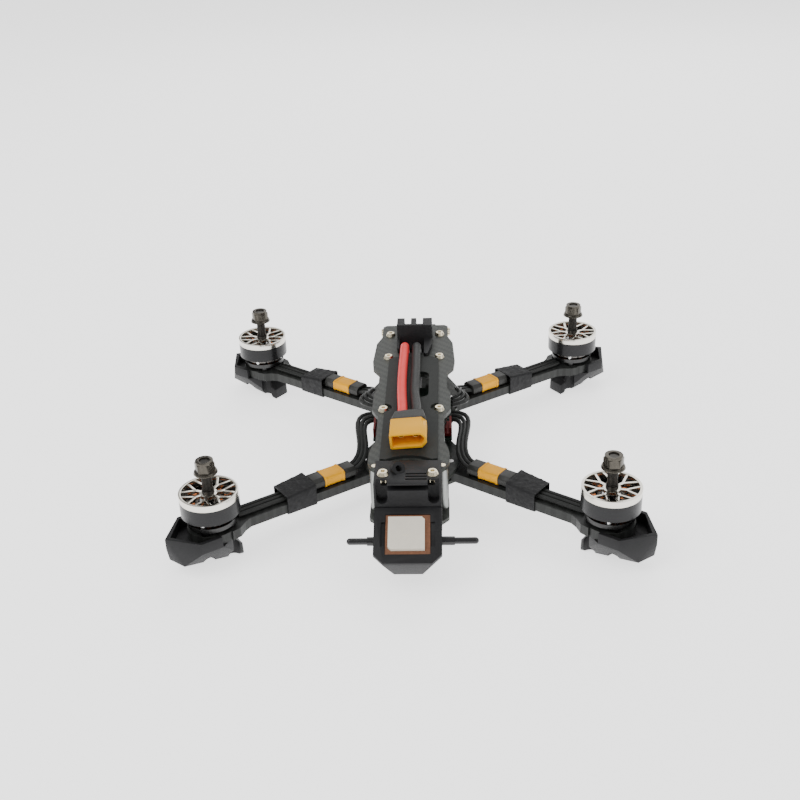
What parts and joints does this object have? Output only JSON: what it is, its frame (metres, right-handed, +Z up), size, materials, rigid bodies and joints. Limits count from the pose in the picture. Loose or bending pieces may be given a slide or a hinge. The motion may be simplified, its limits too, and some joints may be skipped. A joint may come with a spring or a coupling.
{
  "type": "quadcopter",
  "caption": "X-frame quadcopter with a four-in-one electronic speed controller in its stack, brushless motors on plug-in arm leads, battery plug on top and a tail positioning unit.",
  "frame": {"origin": "centre of the belly plate's lower face, midway between the four rotor axes", "axes": "+X to the right side, +Y to the nose, +Z up along the rotor axes"},
  "size_m": [0.2326, 0.2331, 0.0565],
  "materials": {
    "carbon": "woven carbon laminate, satin, cut edges matt",
    "standoff_aluminium": "satin anodised",
    "gilt_screw_steel": "bright plated, pale gold tint",
    "screw_steel": "plain steel",
    "grip_rubber": "matt silicone",
    "circuit_board": "black solder mask",
    "chip_plastic": "moulded epoxy",
    "red_aluminium": "dark red anodised",
    "capacitor_sleeve": "shrunk sleeve",
    "dark_aluminium": "black anodised",
    "camera_plastic": "moulded",
    "lens_glass": "glossy lens barrel and glass",
    "printed_rubber": "layered print, satin",
    "gps_board": "copper-brown circuit board",
    "ceramic": "cream fired ceramic",
    "antenna_plastic": "shrunk sleeve, glossy",
    "red_silicone": "silicone, semi-matt",
    "black_silicone": "silicone, semi-matt",
    "amber_plastic": "moulded nylon, amber",
    "grey_plastic": "moulded nylon, dark grey",
    "gilt_brass": "gold plated",
    "sleeve_fabric": "wound cloth tape",
    "black_aluminium": "black anodised",
    "stator_steel": "coated laminations",
    "copper": "enamelled copper wire",
    "bearing_steel": "ground",
    "chrome": "polished bell",
    "black_steel": "black coated ring",
    "dark_steel": "dark oxide"
  },
  "bodies": {
    "airframe": {"bottom_plate": "carbon", "mid_plate": "carbon", "top_plate": "carbon", "arm_front_right": "carbon", "arm_front_left": "carbon", "arm_rear_left": "carbon", "arm_rear_right": "carbon", "camera_side_plates": "carbon", "standoffs": "standoff_aluminium", "top_screws": "gilt_screw_steel", "underside_screws": "screw_steel", "battery_pad": "grip_rubber", "stack_screws": "screw_steel", "stack_dampers": "grip_rubber", "esc_board": "circuit_board", "esc_mosfets": "chip_plastic", "esc_heat_sink": "red_aluminium", "esc_capacitor": "capacitor_sleeve", "flight_controller": "circuit_board", "stack_cable": "black_silicone", "video_transmitter": "dark_aluminium", "radio_receiver": "circuit_board", "action_camera_fork": "printed_rubber", "rear_mount": "printed_rubber", "gps_board": "gps_board", "gps_patch": "ceramic", "receiver_antenna": "antenna_plastic", "battery_lead_red": "red_silicone", "battery_lead_black": "black_silicone", "plug_housing": "amber_plastic", "plug_cap": "grey_plastic", "plug_pins": "gilt_brass", "motor_connectors": "amber_plastic", "connector_caps": "grey_plastic", "arm_sleeves": "sleeve_fabric", "motor_wires": "black_silicone", "phase_wires": "black_silicone", "feet": "printed_rubber", "motor_bases": "black_aluminium", "stator_cores": "stator_steel", "stator_windings": "copper", "motor_bearings": "bearing_steel"},
    "camera_head": {"fpv_camera": "camera_plastic", "fpv_lens": "lens_glass"},
    "rotor_front_right": {"bell_front_right": "chrome", "can_front_right": "black_steel", "shaft_front_right": "dark_steel", "prop_nut_front_right": "dark_steel"},
    "rotor_front_left": {"bell_front_left": "chrome", "can_front_left": "black_steel", "shaft_front_left": "dark_steel", "prop_nut_front_left": "dark_steel"},
    "rotor_rear_left": {"bell_rear_left": "chrome", "can_rear_left": "black_steel", "shaft_rear_left": "dark_steel", "prop_nut_rear_left": "dark_steel"},
    "rotor_rear_right": {"bell_rear_right": "chrome", "can_rear_right": "black_steel", "shaft_rear_right": "dark_steel", "prop_nut_rear_right": "dark_steel"}
  },
  "joints": [
    {"name": "spin_front_right", "type": "hinge", "parent": "airframe", "child": "rotor_front_right", "pos_m": [0.0952, 0.0886, 0.0132], "axis": [0, 0, 1], "continuous": true},
    {"name": "spin_front_left", "type": "hinge", "parent": "airframe", "child": "rotor_front_left", "pos_m": [-0.0952, 0.0886, 0.0132], "axis": [0, 0, 1], "continuous": true},
    {"name": "spin_rear_left", "type": "hinge", "parent": "airframe", "child": "rotor_rear_left", "pos_m": [-0.0952, -0.0886, 0.0132], "axis": [0, 0, 1], "continuous": true},
    {"name": "spin_rear_right", "type": "hinge", "parent": "airframe", "child": "rotor_rear_right", "pos_m": [0.0952, -0.0886, 0.0132], "axis": [0, 0, 1], "continuous": true},
    {"name": "camera_tilt", "type": "hinge", "parent": "airframe", "child": "camera_head", "pos_m": [0, 0.09, 0.02], "axis": [1, 0, 0], "range_deg": [-15, 40]}
  ]
}
